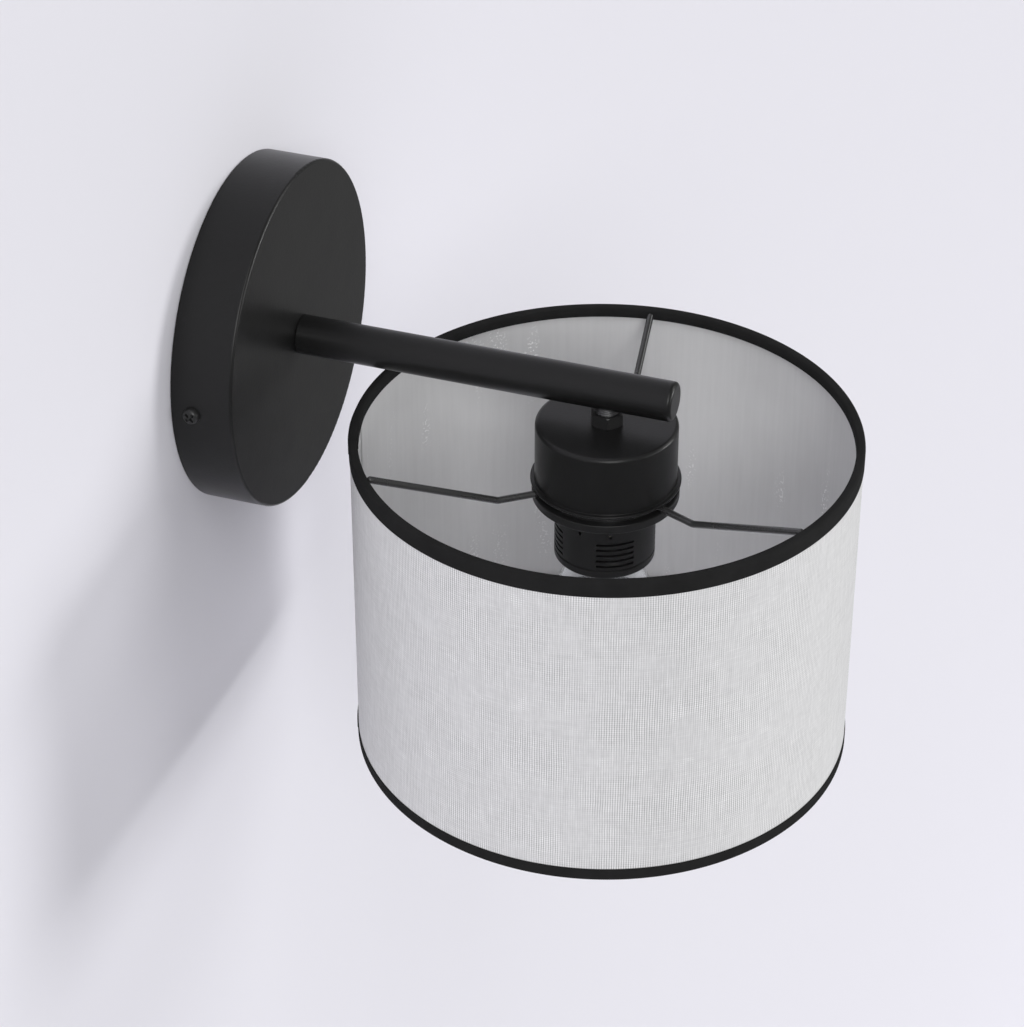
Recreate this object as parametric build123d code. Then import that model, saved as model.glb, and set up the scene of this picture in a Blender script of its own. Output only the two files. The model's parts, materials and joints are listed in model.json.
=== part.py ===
from build123d import *
import math
import os

# Fabric shade wall light.
# Origin: centre of the backplate's back face, on the wall (Y = 0).
# +Y points into the wall, the arm runs out along -Y, +Z is up. Millimetres.

os.makedirs("parts", exist_ok=True)

# ---------------------------------------------------------------- driving dimensions
# Fits
THREAD_FIT = 0.05          # radial play between a thread and its hole
PRESS_FIT = 0.02           # radial play of a piece pushed or brazed into a tube
RUNNING_GAP = 0.3          # between curved faces of pieces that move apart

# Backplate
PLATE_R = 70.0
PLATE_DEPTH = 25.0
PLATE_WALL = 1.5
PLATE_EDGE_R = 1.2
RIM_SCREW_FROM_WALL = 8.5
RIM_HOLE_R = 2.7

# Metric screws: thread radius, head radius, head height
RIM_SCREW = (1.95, 3.4, 2.5)
RIM_SCREW_LENGTH = 9.0
EARTH_SCREW = (1.95, 3.8, 2.4)
BLOCK_SCREW = (1.2, 2.2, 1.5)
TERMINAL_SCREW = (1.45, 1.9, 1.4)

# Wall bracket
BRACKET_T = 2.0
BRACKET_HEIGHT = 24.0
BRACKET_HALF_LENGTH = 50.0
BRACKET_CORNER_R = 5.0
EAR_WIDTH = 12.0
EAR_REACH = 14.5
EAR_BEND_R = 3.0
EAR_GAP = 0.6
WALL_SLOT_SPACING = 60.0
WALL_SLOT_LENGTH = 12.0
WALL_SLOT_R = 2.5
CABLE_HOLE_R = 7.0
EARTH_SCREW_X = 43.0
TAB_HALF_WIDTH = 17.0
TAB_LENGTH = 36.0

# Terminal block on the bracket's tab
BLOCK_POLES = 3
BLOCK_PITCH = 9.5
BLOCK_WIDTH = 17.0
BLOCK_HEIGHT = 12.0
BLOCK_BASE = 8.0
BLOCK_TOWER_R = 3.3
BARREL_R = 2.6
BARREL_BORE_R = 1.7
BARREL_LENGTH = 15.0
TERMINAL_SCREW_SPREAD = 7.6
WASHER_T = 0.8

# Arm
ARM_R = 7.94
ARM_WALL = 1.2
ARM_LENGTH = 180.0
ARM_END_WALL = 1.6
ARM_END_EDGE_R = 1.8
ARM_ROOT_EDGE_R = 0.5
ARM_BUSH_LENGTH = 12.0

# Hollow threaded nipples and their nuts
NIPPLE_R = 5.0
NIPPLE_BORE_R = 3.9
STUD_PROUD = 7.5
ARM_NUT_FLATS = 14.0
ARM_NUT_T = 4.0
ARM_WASHER_R = 8.5
ARM_WASHER_T = 1.2
SADDLE_LENGTH = 16.0
SADDLE_TOP_DROP = 2.5
LOCKNUT_FLATS = 12.0
LOCKNUT_T = 5.2
LOCKNUT_TURN = 20.0
NUT_CHAMFER = 0.5

# Shade axis, and the cup that covers the lampholder's top
SHADE_Y = -152.5
CUP_TOP = -14.5
CUP_R = 28.1
CUP_WALL = 1.0
CUP_EDGE_R = 1.6
CUP_HEIGHT = 26.2
CUP_LIP_R = 29.8
CUP_LIP_T = 1.1
HOLDER_WASHER_R = 8.0
HOLDER_WASHER_T = 1.0

# Lampholder (E27)
HOLDER_NECK_R = 9.0
HOLDER_NECK_T = 6.0
HOLDER_CAP_R = 19.4
HOLDER_CAP_WALL = 2.0
HOLDER_CAP_HEIGHT = 20.5
HOLDER_DOME_DROP = 9.5
SKIRT_R = 20.1
SKIRT_WALL = 1.6
SKIRT_BOTTOM = -75.4
SKIRT_EDGE_R = 0.7
SKIRT_THREAD_R = 20.4
SHOULDER_R = 22.4
SHOULDER_T = 2.0
GROOVE_ABOVE_RIM = 2.9
GROOVE_WIDTH = 1.0
GROOVE_DEPTH = 0.7
VENT_GROUPS = 4
VENT_FIRST_ANGLE = 30.0
VENTS_IN_GROUP = 5
VENT_ARC = 44.5
VENT_PITCH = 2.55
VENT_GAP = 1.0
VENT_LOWEST = -70.1
LATCH_ANGLES = (168.4, 204.0)
LATCH_Z = -55.6
LATCH_WIDTH = 1.1
LATCH_HEIGHT = 1.6
INSULATOR_FIT = 0.1
INSULATOR_BASE_T = 7.5
SLEEVE_WALL = 2.0
SLEEVE_ABOVE_RIM = 3.2
SHELL_BORE_R = 13.5
SHELL_T = 0.4
SHELL_COLLAR_R = 10.5
SHELL_TOP_DROP = 4.0
SHELL_ABOVE_RIM = 3.8
CONTACT_T = 0.5
CONTACT_WIDTH = 6.0
CONTACT_FOOT = 8.5
HOLDER_TERMINAL_X = 11.0
CORE_PASSAGE_R = 1.5
HOLDER_TERMINAL_SIZE = (6.0, 8.0, 4.5)

# Shade ring on the lampholder
RING_R = 29.2
RING_HEIGHT = 3.6
RING_HUB_WALL = 2.2
RING_BAND_WALL = 1.2
RING_WEB_T = 1.2

# Spider: washer and three wires
SPIDER_HOLE_R = 21.0
SPIDER_WASHER_R = 26.0
SPIDER_WASHER_T = 1.2
WIRE_R = 1.42
WIRE_ANGLES = (7.0, 127.0, 247.0)
WIRE_BEND_AT = 44.6
WIRE_END_DROP = 2.5
WIRE_BEND_R = 3.0

# Shade drum
SHADE_R = 100.0
SHADE_TOP = -20.0
SHADE_HEIGHT = 142.0
TRIM_T = 0.2
FABRIC_T = 0.3
LINER_T = 0.2
FRAME_RING_R = 1.0
TRIM_TOP_HEIGHT = 7.0
TRIM_BOTTOM_HEIGHT = 5.7
TRIM_INNER_HEIGHT = 4.5

# Bulb (A60 clear globe, E27 cap)
BULB_R = 30.0
BULB_LENGTH = 105.0
BULB_NECK_R = 12.6
GLASS_T = 0.8
CAP_LENGTH = 26.2
CAP_R = 13.2
CAP_T = 0.4
CAP_TOP_R = 9.0
CAP_CONE = 3.5
TIP_R = 4.6
TIP_T = 1.2
VITRITE_T = 2.4
STEM_R = 4.4
STEM_LENGTH = 24.0
FILAMENTS = 4
FILAMENT_R = 0.8
FILAMENT_LENGTH = 34.0
FILAMENT_TOP_FROM_AXIS = 5.5
FILAMENT_LOW_FROM_AXIS = 10.5
SUPPORT_R = 0.4

# ---------------------------------------------------------------- derived values
plate_inner_r = PLATE_R - PLATE_WALL
plate_front = -PLATE_DEPTH
plate_inside = plate_front + PLATE_WALL
ear_outer_x = plate_inner_r - EAR_GAP

block_z = -BRACKET_HEIGHT / 2 - TAB_LENGTH / 2
block_length = BLOCK_POLES * BLOCK_PITCH
pole_xs = [(index - (BLOCK_POLES - 1) / 2) * BLOCK_PITCH for index in range(BLOCK_POLES)]
barrel_y = -BRACKET_T - BLOCK_BASE / 2

arm_inner_r = ARM_R - ARM_WALL
stud_end = plate_inside + STUD_PROUD
nipple_hole_r = NIPPLE_R + THREAD_FIT

saddle_top = -SADDLE_TOP_DROP
cup_bottom = CUP_TOP - CUP_HEIGHT
holder_top = CUP_TOP - CUP_WALL - HOLDER_WASHER_T
holder_joint = holder_top - HOLDER_CAP_HEIGHT
holder_inside_top = holder_top - HOLDER_NECK_T
skirt_bore_r = SKIRT_R - SKIRT_WALL

wire_z = cup_bottom - RUNNING_GAP - WIRE_R
ring_top = wire_z - WIRE_R - RUNNING_GAP
ring_bottom = ring_top - RING_HEIGHT
ring_bore_r = SKIRT_THREAD_R + THREAD_FIT
shoulder_bottom = ring_top + SPIDER_WASHER_T
thread_end = ring_bottom + THREAD_FIT

insulator_bottom = holder_joint - INSULATOR_BASE_T
shell_outer_r = SHELL_BORE_R + SHELL_T
sleeve_bore_r = shell_outer_r + PRESS_FIT
shell_top = insulator_bottom - SHELL_TOP_DROP
cap_bottom = SKIRT_BOTTOM
bulb_top = cap_bottom + CAP_LENGTH
neck_top = cap_bottom + CAP_LENGTH / 4
stem_end = neck_top - STEM_LENGTH
filament_top = stem_end - 2 * STEM_R

shade_bottom = SHADE_TOP - SHADE_HEIGHT
fabric_r = SHADE_R - TRIM_T
liner_r = fabric_r - FABRIC_T
frame_ring_center_r = liner_r - LINER_T - FRAME_RING_R
rim_inner_r = frame_ring_center_r - FRAME_RING_R - TRIM_T
wire_end_r = rim_inner_r - WIRE_R
wire_end_z = SHADE_TOP - WIRE_END_DROP


# ---------------------------------------------------------------- drawing helpers
def profile(*corners):
    """Closed face from corners (across, along), each with an optional third value, its round."""
    face = make_face(Polyline(*[corner[:2] for corner in corners], close=True))
    for corner in corners:
        if len(corner) > 2:
            vertex = face.vertices().sort_by_distance(Vector(*corner[:2]))[0]
            face = fillet(vertex, corner[2])
    return face


def turned_y(*corners):
    """Solid turned about the arm's axis, from (radius, y) corners."""
    return revolve(profile(*corners), Axis.Y)


def turned_z(*corners):
    """Solid turned about the shade's axis, from (radius, z) corners."""
    return on_shade_axis(revolve(Plane.XZ * profile(*corners), Axis.Z))


def on_shade_axis(shape):
    return Pos(0, SHADE_Y, 0) * shape


def tube_z(outer_r, inner_r, top, bottom):
    return turned_z((inner_r, bottom), (outer_r, bottom), (outer_r, top), (inner_r, top))


def tube_y(outer_r, inner_r, front, back):
    return turned_y((inner_r, back), (outer_r, back), (outer_r, front), (inner_r, front))


def rod_x(radius, length, at):
    return Pos(*at) * Rot(0, 90, 0) * Cylinder(radius, length)


def rod_y(radius, length, at):
    return Pos(*at) * Rot(90, 0, 0) * Cylinder(radius, length)


def rod_between(start, end, radius):
    """Straight round rod from one point to another."""
    line = Line(start, end)
    return sweep(Plane(line @ 0, z_dir=line % 0) * Circle(radius), path=line)


def pan_screw(size, length):
    """Screw along Z with its domed head above Z = 0 and its shank below."""
    shank_r, head_r, head_height = size
    half = profile(
        (0, -length), (shank_r, -length), (shank_r, 0), (head_r, 0),
        (head_r, head_height, head_height * 0.6), (0, head_height),
    )
    return revolve(Plane.XZ * half, Axis.Z)


def hex_nut(flats, bore_r, height):
    """Nut on Z from 0 up, its corners chamfered at both ends."""
    across = flats / math.sqrt(3)
    low = across - NUT_CHAMFER
    blank = extrude(RegularPolygon(flats / 2, 6, major_radius=False) - Circle(bore_r), height)
    turned = revolve(
        Plane.XZ * profile(
            (0, 0), (low, 0), (across, NUT_CHAMFER), (across, height - NUT_CHAMFER),
            (low, height), (0, height),
        ),
        Axis.Z,
    )
    return blank & turned


def polar(radius, angle, z):
    """Point at an angle about the shade's axis."""
    turn = math.radians(angle)
    return (radius * math.cos(turn), SHADE_Y + radius * math.sin(turn), z)


# ---------------------------------------------------------------- on the wall
def make_backplate():
    """Spun steel cup with a flat face, open to the wall."""
    cup = turned_y(
        (nipple_hole_r, plate_front), (PLATE_R, plate_front, PLATE_EDGE_R), (PLATE_R, 0),
        (plate_inner_r, 0), (plate_inner_r, plate_inside, PLATE_EDGE_R / 2),
        (nipple_hole_r, plate_inside),
    )
    return cup - rod_x(RIM_HOLE_R, 3 * PLATE_R, (0, -RIM_SCREW_FROM_WALL, 0))


def make_wall_bracket():
    """Flat strap with a bent ear at each end and a tab below for the terminal block."""
    ear_mid_x = ear_outer_x - BRACKET_T / 2
    spine = FilletPolyline(
        (-ear_mid_x, -EAR_REACH), (-ear_mid_x, -BRACKET_T / 2),
        (ear_mid_x, -BRACKET_T / 2), (ear_mid_x, -EAR_REACH),
        radius=EAR_BEND_R,
    )
    strap = extrude(trace(spine, BRACKET_T), EAR_WIDTH / 2, both=True)
    plate = RectangleRounded(2 * BRACKET_HALF_LENGTH, BRACKET_HEIGHT, BRACKET_CORNER_R)
    tab_height = TAB_LENGTH + BRACKET_HEIGHT / 2
    plate += Pos(0, -tab_height / 2) * Rectangle(2 * TAB_HALF_WIDTH, tab_height)
    bracket = strap + extrude(Plane.XZ * plate, BRACKET_T)
    bracket -= rod_x(RIM_SCREW[0] + THREAD_FIT, 2 * PLATE_R, (0, -RIM_SCREW_FROM_WALL, 0))
    bracket -= extrude(Plane.XZ * Circle(CABLE_HOLE_R), BRACKET_T)
    for side in (-1, 1):
        slot = SlotOverall(WALL_SLOT_LENGTH, 2 * WALL_SLOT_R)
        bracket -= extrude(Plane.XZ * Pos(side * WALL_SLOT_SPACING / 2, 0) * slot, BRACKET_T)
    bracket -= rod_y(EARTH_SCREW[0] + THREAD_FIT, 2 * BRACKET_T, (EARTH_SCREW_X, -BRACKET_T, 0))
    for x in block_screw_xs():
        bracket -= rod_y(BLOCK_SCREW[0] + THREAD_FIT, 2 * BRACKET_T, (x, -BRACKET_T, block_z))
    return bracket


def make_rim_screws():
    """The two screws that hold the backplate to the bracket's ears."""
    screw = pan_screw(RIM_SCREW, RIM_SCREW_LENGTH)
    return [
        Pos(side * PLATE_R, -RIM_SCREW_FROM_WALL, 0) * Rot(0, side * 90, 0) * screw
        for side in (-1, 1)
    ]


def make_earth_screw():
    length = BRACKET_T + WASHER_T - RUNNING_GAP
    seat = (EARTH_SCREW_X, -BRACKET_T - WASHER_T, 0)
    return Pos(*seat) * Rot(90, 0, 0) * pan_screw(EARTH_SCREW, length)


def make_earth_washer():
    ring = Circle(EARTH_SCREW[1] + 0.7) - Circle(EARTH_SCREW[0] + THREAD_FIT)
    return Pos(EARTH_SCREW_X, -BRACKET_T, 0) * Rot(90, 0, 0) * extrude(ring, WASHER_T)


# ---------------------------------------------------------------- terminal block
def block_screw_xs():
    """The block's fixing screws stand between its poles."""
    return [(left + right) / 2 for left, right in zip(pole_xs, pole_xs[1:])]


def terminal_screw_spots():
    return [(x, side * TERMINAL_SCREW_SPREAD / 2) for x in pole_xs for side in (-1, 1)]


def make_terminal_block():
    """Moulded strip: a base with a round tower over each terminal screw."""
    base = Box(block_length, BLOCK_BASE, BLOCK_WIDTH)
    block = Pos(0, -BRACKET_T - BLOCK_BASE / 2, block_z) * fillet(base.edges().filter_by(Axis.Y), 1.0)
    tower_y = -BRACKET_T - BLOCK_HEIGHT / 2
    for x, offset in terminal_screw_spots():
        block += rod_y(BLOCK_TOWER_R, BLOCK_HEIGHT, (x, tower_y, block_z + offset))
    for x, offset in terminal_screw_spots():
        well = BLOCK_HEIGHT - (BLOCK_BASE / 2 + BARREL_R / 2)
        well_y = -BRACKET_T - BLOCK_HEIGHT + well / 2
        block -= rod_y(TERMINAL_SCREW[1] + INSULATOR_FIT, well, (x, well_y, block_z + offset))
    for x in pole_xs:
        block -= Pos(x, barrel_y, block_z) * Cylinder(BARREL_R + PRESS_FIT, 2 * BLOCK_WIDTH)
    for x in block_screw_xs():
        block -= rod_y(BLOCK_SCREW[0] + THREAD_FIT, 2 * BLOCK_HEIGHT, (x, tower_y, block_z))
    return block


def make_terminal_barrels():
    """Brass tubes that take the wires, one in each pole."""
    barrels = []
    for x in pole_xs:
        barrel = Cylinder(BARREL_R, BARREL_LENGTH) - Cylinder(BARREL_BORE_R, BARREL_LENGTH)
        barrel = Pos(x, barrel_y, block_z) * barrel
        for side in (-1, 1):
            spot = (x, barrel_y - BARREL_R, block_z + side * TERMINAL_SCREW_SPREAD / 2)
            barrel -= rod_y(TERMINAL_SCREW[0] + THREAD_FIT, 2 * BARREL_R, spot)
        barrels.append(barrel)
    return barrels


def make_terminal_screws():
    """Short screws, two to a pole, with their heads down in the towers."""
    seat_y = barrel_y - BARREL_R - THREAD_FIT
    screw = pan_screw(TERMINAL_SCREW, BARREL_R - BARREL_BORE_R + THREAD_FIT)
    return [
        Pos(x, seat_y, block_z + offset) * Rot(90, 0, 0) * screw
        for x, offset in terminal_screw_spots()
    ]


def make_block_screws():
    seat_y = -BRACKET_T - BLOCK_BASE
    screw = pan_screw(BLOCK_SCREW, BLOCK_BASE + BRACKET_T - RUNNING_GAP)
    return [Pos(x, seat_y, block_z) * Rot(90, 0, 0) * screw for x in block_screw_xs()]


# ---------------------------------------------------------------- arm
def make_arm_tube():
    """Round tube from the backplate out over the shade, closed at its end."""
    inner_end = -ARM_LENGTH + ARM_END_WALL
    tube = turned_y(
        (arm_inner_r, plate_front), (ARM_R, plate_front, ARM_ROOT_EDGE_R),
        (ARM_R, -ARM_LENGTH, ARM_END_EDGE_R), (0, -ARM_LENGTH), (0, inner_end),
        (arm_inner_r, inner_end),
    )
    return tube - Pos(0, SHADE_Y, -ARM_R) * Cylinder(nipple_hole_r, 2 * ARM_R)


def make_arm_bush():
    """Threaded bush brazed into the arm's root."""
    return tube_y(arm_inner_r - PRESS_FIT, nipple_hole_r, plate_front - ARM_BUSH_LENGTH, plate_front)


def make_arm_stud():
    """Hollow threaded nipple that joins the arm to the backplate."""
    return tube_y(NIPPLE_R, NIPPLE_BORE_R, plate_front - ARM_BUSH_LENGTH, stud_end)


def make_arm_washer():
    return tube_y(ARM_WASHER_R, nipple_hole_r, plate_inside, plate_inside + ARM_WASHER_T)


def make_arm_nut():
    seat = plate_inside + ARM_WASHER_T
    return Pos(0, seat, 0) * Rot(-90, 0, 0) * hex_nut(ARM_NUT_FLATS, nipple_hole_r, ARM_NUT_T)


def make_arm_saddle():
    """Half-round threaded saddle brazed inside the tube, over the shade's axis."""
    bar = rod_y(arm_inner_r - PRESS_FIT, SADDLE_LENGTH, (0, SHADE_Y, 0))
    bar = split(bar, Plane.XY.offset(saddle_top), keep=Keep.BOTTOM)
    return bar - Pos(0, SHADE_Y, -ARM_R) * Cylinder(nipple_hole_r, 2 * ARM_R)


# ---------------------------------------------------------------- drop and cup
def make_drop_nipple():
    return tube_z(NIPPLE_R, NIPPLE_BORE_R, saddle_top, holder_inside_top)


def make_cup_locknut():
    nut = Rot(0, 0, LOCKNUT_TURN) * hex_nut(LOCKNUT_FLATS, nipple_hole_r, LOCKNUT_T)
    return on_shade_axis(Pos(0, 0, CUP_TOP) * nut)


def make_cup_cover():
    """Drawn cup over the lampholder's top, with a rolled lip."""
    inner_r = CUP_R - CUP_WALL
    return turned_z(
        (nipple_hole_r, CUP_TOP), (CUP_R, CUP_TOP, CUP_EDGE_R), (CUP_R, cup_bottom + CUP_LIP_T, 0.3),
        (CUP_LIP_R, cup_bottom + CUP_LIP_T, 0.4), (CUP_LIP_R, cup_bottom, 0.4), (inner_r, cup_bottom),
        (inner_r, CUP_TOP - CUP_WALL, CUP_EDGE_R - CUP_WALL), (nipple_hole_r, CUP_TOP - CUP_WALL),
    )


def make_holder_washer():
    return tube_z(HOLDER_WASHER_R, nipple_hole_r, CUP_TOP - CUP_WALL, holder_top)


# ---------------------------------------------------------------- lampholder
def make_holder_cap():
    """Domed upper half of the lampholder, threaded on the nipple."""
    dome_z = holder_top - HOLDER_DOME_DROP
    inner_r = HOLDER_CAP_R - HOLDER_CAP_WALL
    return turned_z(
        (nipple_hole_r, holder_top), (HOLDER_NECK_R, holder_top, 0.6),
        (HOLDER_NECK_R, holder_top - HOLDER_NECK_T / 2), (HOLDER_CAP_R, dome_z, 3.0),
        (HOLDER_CAP_R, holder_joint), (inner_r, holder_joint),
        (inner_r, dome_z - HOLDER_CAP_WALL, 2.0), (HOLDER_NECK_R, holder_inside_top),
        (nipple_hole_r, holder_inside_top),
    )


def vent_band(angle, low):
    """Ring sector that cuts one horizontal vent through the skirt."""
    sector = CenterArc((0, 0), SKIRT_R, angle - VENT_ARC / 2, VENT_ARC)
    band = trace(sector, 4 * SKIRT_WALL)
    return on_shade_axis(Pos(0, 0, low) * extrude(band, VENT_GAP))


def make_holder_skirt():
    """Outer skirt: threaded top with a shoulder, four vent groups and a grooved rim."""
    groove_z = SKIRT_BOTTOM + GROOVE_ABOVE_RIM
    skirt = turned_z(
        (skirt_bore_r, SKIRT_BOTTOM, 0.3), (SKIRT_R, SKIRT_BOTTOM, SKIRT_EDGE_R),
        (SKIRT_R, groove_z), (SKIRT_R - GROOVE_DEPTH, groove_z + GROOVE_WIDTH / 2),
        (SKIRT_R, groove_z + GROOVE_WIDTH), (SKIRT_R, thread_end),
        (SKIRT_THREAD_R, thread_end + SKIRT_THREAD_R - SKIRT_R), (SKIRT_THREAD_R, shoulder_bottom),
        (SHOULDER_R, shoulder_bottom), (SHOULDER_R, shoulder_bottom + SHOULDER_T, 0.5),
        (SKIRT_THREAD_R, shoulder_bottom + SHOULDER_T), (SKIRT_THREAD_R, holder_joint),
        (skirt_bore_r, holder_joint),
    )
    for group in range(VENT_GROUPS):
        angle = VENT_FIRST_ANGLE + group * 360 / VENT_GROUPS
        for row in range(VENTS_IN_GROUP):
            skirt -= vent_band(angle, VENT_LOWEST + row * VENT_PITCH)
    for angle in LATCH_ANGLES:
        window = Pos(SKIRT_R, 0, LATCH_Z) * Box(4 * SKIRT_WALL, LATCH_WIDTH, LATCH_HEIGHT)
        skirt -= on_shade_axis(Rot(0, 0, angle) * window)
    return skirt


def make_holder_insulator():
    """Ceramic core: a thick base with the sleeve that holds the threaded shell."""
    base_r = skirt_bore_r - INSULATOR_FIT
    sleeve_r = sleeve_bore_r + SLEEVE_WALL
    sleeve_bottom = SKIRT_BOTTOM + SLEEVE_ABOVE_RIM
    core = turned_z(
        (0, holder_joint), (base_r, holder_joint), (base_r, insulator_bottom),
        (sleeve_r, insulator_bottom - SLEEVE_WALL), (sleeve_r, sleeve_bottom),
        (sleeve_bore_r, sleeve_bottom), (sleeve_bore_r, insulator_bottom), (0, insulator_bottom),
    )
    for side in (-1, 1):
        passage = Pos(0, side * HOLDER_TERMINAL_X, holder_joint) * Cylinder(CORE_PASSAGE_R, 4 * INSULATOR_BASE_T)
        core -= on_shade_axis(passage)
    return core


def make_lamp_shell():
    """Rolled metal shell that takes the bulb's cap, with its top collar."""
    bottom = SKIRT_BOTTOM + SHELL_ABOVE_RIM
    collar_under = shell_top - SHELL_T
    return turned_z(
        (SHELL_COLLAR_R, shell_top), (shell_outer_r, shell_top), (shell_outer_r, bottom),
        (SHELL_BORE_R, bottom), (SHELL_BORE_R, collar_under), (SHELL_COLLAR_R, collar_under),
    )


def make_center_contact():
    """Leaf spring under the base that presses on the bulb's tip."""
    foot_z = insulator_bottom - CONTACT_T / 2
    press_z = bulb_top + RUNNING_GAP + CONTACT_T / 2
    spine = Polyline(
        (CONTACT_FOOT, foot_z), (CONTACT_FOOT / 2, foot_z), (TIP_R / 2, press_z),
        (-TIP_R / 2, press_z),
    )
    leaf = extrude(Plane.XZ * trace(spine, CONTACT_T), CONTACT_WIDTH / 2, both=True)
    return on_shade_axis(leaf)


def make_holder_terminals():
    """Two brass blocks on the core's top face."""
    width, depth, height = HOLDER_TERMINAL_SIZE
    lift = holder_joint + height / 2
    blocks = []
    for side in (-1, 1):
        block = Pos(side * HOLDER_TERMINAL_X, 0, lift) * Box(width, depth, height)
        bore = Pos(side * HOLDER_TERMINAL_X, 0, holder_joint + height)
        block -= bore * Cylinder(TERMINAL_SCREW[0] + THREAD_FIT, height)
        blocks.append(on_shade_axis(block))
    return blocks


def make_holder_terminal_screws():
    height = HOLDER_TERMINAL_SIZE[2]
    screw = pan_screw(TERMINAL_SCREW, height / 2 - RUNNING_GAP)
    seat = holder_joint + height
    return [on_shade_axis(Pos(side * HOLDER_TERMINAL_X, 0, seat) * screw) for side in (-1, 1)]


# ---------------------------------------------------------------- shade
def make_shade_ring():
    """Threaded ring that clamps the spider: hub, web and outer band."""
    hub_r = ring_bore_r + RING_HUB_WALL
    band_r = RING_R - RING_BAND_WALL
    web_z = ring_top - RING_WEB_T
    return turned_z(
        (ring_bore_r, ring_top), (RING_R, ring_top, 0.4), (RING_R, ring_bottom, 0.4),
        (band_r, ring_bottom), (band_r, web_z), (hub_r, web_z), (hub_r, ring_bottom),
        (ring_bore_r, ring_bottom),
    )


def spider_wire(angle):
    """Round wire, level out to the bend and then straight up to the rim, with a round end."""
    start = (SPIDER_WASHER_R - WIRE_R, wire_z)
    bend = (WIRE_BEND_AT, wire_z)
    end = (wire_end_r, wire_end_z)
    spine = Plane.XZ * FilletPolyline(start, bend, end, radius=WIRE_BEND_R)
    section = Plane(spine @ 0, z_dir=spine % 0) * Circle(WIRE_R)
    wire = sweep(section, path=spine)
    wire += Pos(end[0], 0, end[1]) * Sphere(WIRE_R)
    return on_shade_axis(Rot(0, 0, angle) * wire)


def make_spider():
    """Washer with three wires welded to it."""
    spider = tube_z(SPIDER_WASHER_R, SPIDER_HOLE_R, shoulder_bottom, ring_top)
    for angle in WIRE_ANGLES:
        spider += spider_wire(angle)
    return spider


def make_frame_ring(z):
    """Wire ring inside the rim's fold."""
    section = Plane.XZ * Pos(frame_ring_center_r, z) * Circle(FRAME_RING_R)
    return on_shade_axis(revolve(section, Axis.Z))


def make_fabric():
    return tube_z(fabric_r, liner_r, SHADE_TOP - TRIM_T, shade_bottom + TRIM_T)


def make_liner():
    return tube_z(liner_r, liner_r - LINER_T, SHADE_TOP - TRIM_T, shade_bottom + TRIM_T)


def make_trim(edge, inward, outer_height):
    """Ribbon folded over the rim; inward is -1 where the fold hangs down and 1 where it stands."""
    fold = edge + inward * TRIM_T
    outer_end = edge + inward * outer_height
    inner_end = edge + inward * TRIM_INNER_HEIGHT
    return turned_z(
        (rim_inner_r, edge), (SHADE_R, edge), (SHADE_R, outer_end), (fabric_r, outer_end),
        (fabric_r, fold), (rim_inner_r + TRIM_T, fold), (rim_inner_r + TRIM_T, inner_end),
        (rim_inner_r, inner_end),
    )


# ---------------------------------------------------------------- bulb
def make_bulb_tip():
    return tube_z(TIP_R, 0, bulb_top, bulb_top - TIP_T)


def make_bulb_insulator():
    """Black glass cone between the tip and the cap."""
    top = bulb_top - TIP_T
    return turned_z((0, top), (TIP_R, top), (CAP_TOP_R, top - VITRITE_T), (0, top - VITRITE_T))


def make_bulb_cap():
    """Screw cap as a thin shell: shoulder cone, threaded wall and open end."""
    top = bulb_top - TIP_T - VITRITE_T
    cone_end = top - CAP_CONE
    return turned_z(
        (CAP_TOP_R - CAP_T, top), (CAP_TOP_R, top), (CAP_R, cone_end), (CAP_R, cap_bottom),
        (CAP_R - CAP_T, cap_bottom), (CAP_R - CAP_T, cone_end), (CAP_TOP_R - CAP_T, top - CAP_T),
    )


def bulb_body(inset):
    """Solid globe with a straight flank down to its neck, drawn in by inset."""
    globe_r = BULB_R - inset
    neck_r = BULB_NECK_R - inset
    center_z = bulb_top - BULB_LENGTH + BULB_R
    to_neck = math.atan2(cap_bottom - center_z, neck_r)
    reach = math.hypot(cap_bottom - center_z, neck_r)
    touch = to_neck - math.acos(globe_r / reach)
    mid = (touch - math.pi / 2) / 2
    touch_point = (globe_r * math.cos(touch), center_z + globe_r * math.sin(touch))
    mid_point = (globe_r * math.cos(mid), center_z + globe_r * math.sin(mid))
    bottom_point = (0, center_z - globe_r)
    sides = Polyline(bottom_point, (0, neck_top), (neck_r, neck_top), (neck_r, cap_bottom), touch_point)
    globe = ThreePointArc(touch_point, mid_point, bottom_point)
    return on_shade_axis(revolve(Plane.XZ * make_face(sides + globe), Axis.Z))


def make_bulb_glass():
    """Thin glass envelope, open at its neck inside the cap."""
    return bulb_body(0) - bulb_body(GLASS_T)


def make_bulb_stem():
    """Flared glass stem that seals the neck and carries the filaments."""
    flare_r = BULB_NECK_R - GLASS_T - PRESS_FIT
    return turned_z(
        (0, neck_top), (flare_r, neck_top), (flare_r, neck_top - GLASS_T),
        (STEM_R, neck_top - flare_r), (STEM_R, stem_end), (0, stem_end),
    )


def filament_ends():
    """Upper and lower end of each straight filament, spread wider below."""
    low_z = filament_top - FILAMENT_LENGTH
    angles = [index * 360 / FILAMENTS for index in range(FILAMENTS)]
    return [
        (polar(FILAMENT_TOP_FROM_AXIS, angle, filament_top), polar(FILAMENT_LOW_FROM_AXIS, angle, low_z))
        for angle in angles
    ]


def make_filaments():
    return [rod_between(top, low, FILAMENT_R) for top, low in filament_ends()]


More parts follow.
